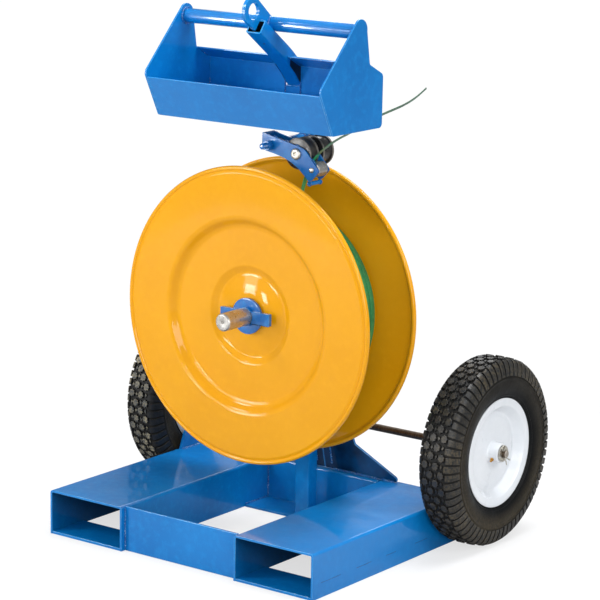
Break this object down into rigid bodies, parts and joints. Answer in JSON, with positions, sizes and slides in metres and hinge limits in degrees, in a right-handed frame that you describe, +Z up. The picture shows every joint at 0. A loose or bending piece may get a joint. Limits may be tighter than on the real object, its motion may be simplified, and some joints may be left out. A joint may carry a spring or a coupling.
{
  "type": "strapping dispenser cart",
  "caption": "Wheeled steel cart holding a reel of strap on a mandrel, with a roller guide arm, a tool tray, a lifting eye and fork pockets.",
  "frame": {"origin": "on the floor under the middle of the footprint", "axes": "+Z up; +Y from the fork pocket mouths towards the wheels; +X to the right seen from the pocket mouths"},
  "size_m": [0.906, 0.7481, 1.1575],
  "materials": {
    "blue_enamel": "gloss enamel",
    "yellow_enamel": "gloss enamel",
    "white_enamel": "gloss enamel",
    "tyre_rubber": "moulded tread",
    "tube_rubber": "matte",
    "turned_steel": "turned, bright",
    "zinc_plate": "zinc plated",
    "dark_steel": "cold drawn, darkened",
    "spool_plastic": "moulded, worn",
    "green_strap": "embossed polyester strap",
    "cardboard": "wound paperboard",
    "brass": "bright"
  },
  "bodies": {
    "frame": {"fork_pocket_left": "blue_enamel", "pocket_tie_left": "blue_enamel", "rear_gusset_left": "blue_enamel", "axle_bracket_left": "blue_enamel", "axle_washer_left": "zinc_plate", "cotter_pin_left": "zinc_plate", "tray_end_left": "blue_enamel", "fork_pocket_right": "blue_enamel", "pocket_tie_right": "blue_enamel", "rear_gusset_right": "blue_enamel", "axle_bracket_right": "blue_enamel", "axle_washer_right": "zinc_plate", "cotter_pin_right": "zinc_plate", "tray_end_right": "blue_enamel", "front_cross_plate": "blue_enamel", "rear_cross_member": "blue_enamel", "mast": "blue_enamel", "tray_trough": "blue_enamel", "tray_handle": "blue_enamel", "lifting_eye": "blue_enamel", "mandrel_stop_collar": "blue_enamel", "arm_pivot_shaft": "blue_enamel", "arm_pivot_nut": "blue_enamel", "arm_pivot_spacer": "blue_enamel", "wheel_axle": "dark_steel", "mandrel": "turned_steel", "strap_rise": "green_strap", "strap_tail": "green_strap"},
    "reel": {"reel_front_flange": "yellow_enamel", "reel_rear_flange": "yellow_enamel", "reel_hub": "zinc_plate", "coil_core": "cardboard", "strap_coil": "green_strap"},
    "thrust_washer": {"thrust_washer": "zinc_plate"},
    "wing_collar": {"wing_collar": "blue_enamel"},
    "guide_arm": {"arm_plate_front": "blue_enamel", "arm_plate_rear": "blue_enamel", "arm_pivot_sleeve": "zinc_plate", "strap_guide_rod": "blue_enamel", "spool_bolt": "zinc_plate", "spool_nut": "zinc_plate", "pinch_roller_pin": "zinc_plate", "strap_nip": "green_strap"},
    "guide_spool_front": {"guide_spool_front": "spool_plastic"},
    "guide_spool_rear": {"guide_spool_rear": "spool_plastic"},
    "pinch_roller": {"pinch_roller": "turned_steel"},
    "wheel_left": {"tyre_left": "tyre_rubber", "rim_left": "white_enamel", "inner_tube_left": "tube_rubber", "hub_left": "white_enamel", "hub_bearing_outer_left": "zinc_plate", "hub_bearing_inner_left": "zinc_plate", "grease_fitting_left": "brass"},
    "wheel_right": {"tyre_right": "tyre_rubber", "rim_right": "white_enamel", "inner_tube_right": "tube_rubber", "hub_right": "white_enamel", "hub_bearing_outer_right": "zinc_plate", "hub_bearing_inner_right": "zinc_plate", "grease_fitting_right": "brass"}
  },
  "joints": [
    {"name": "reel_spin", "type": "hinge", "parent": "frame", "child": "reel", "pos_m": [0, -0.06735, 0.4906], "axis": [0, 1, 0], "continuous": true},
    {"name": "wheel_left_spin", "type": "hinge", "parent": "frame", "child": "wheel_left", "pos_m": [-0.398, 0.1714, 0.2032], "axis": [1, 0, 0], "continuous": true},
    {"name": "wheel_right_spin", "type": "hinge", "parent": "frame", "child": "wheel_right", "pos_m": [0.398, 0.1714, 0.2032], "axis": [1, 0, 0], "continuous": true},
    {"name": "thrust_washer_slide", "type": "slide", "parent": "frame", "child": "thrust_washer", "axis": [0, -1, 0], "range_m": [0, 0.06]},
    {"name": "wing_collar_turn", "type": "hinge", "parent": "thrust_washer", "child": "wing_collar", "pos_m": [0, -0.1461, 0.4906], "axis": [0, 1, 0], "continuous": true},
    {"name": "guide_arm_swing", "type": "hinge", "parent": "frame", "child": "guide_arm", "pos_m": [0.01, -0.0676, 0.847], "axis": [0, 1, 0], "range_deg": [-15, 15]},
    {"name": "guide_spool_front_spin", "type": "hinge", "parent": "guide_arm", "child": "guide_spool_front", "pos_m": [0.0787, -0.0676, 0.8354], "axis": [0, 1, 0], "continuous": true},
    {"name": "guide_spool_rear_spin", "type": "hinge", "parent": "guide_arm", "child": "guide_spool_rear", "pos_m": [0.0787, -0.0181, 0.8354], "axis": [0, 1, 0], "continuous": true},
    {"name": "pinch_roller_spin", "type": "hinge", "parent": "guide_arm", "child": "pinch_roller", "pos_m": [0.1187, -0.0676, 0.8058], "axis": [0, 1, 0], "continuous": true}
  ],
  "couplings": [
    {"joint": "guide_spool_front_spin", "follows": "reel_spin", "ratio": -7.4138},
    {"joint": "pinch_roller_spin", "follows": "reel_spin", "ratio": 13.438}
  ]
}
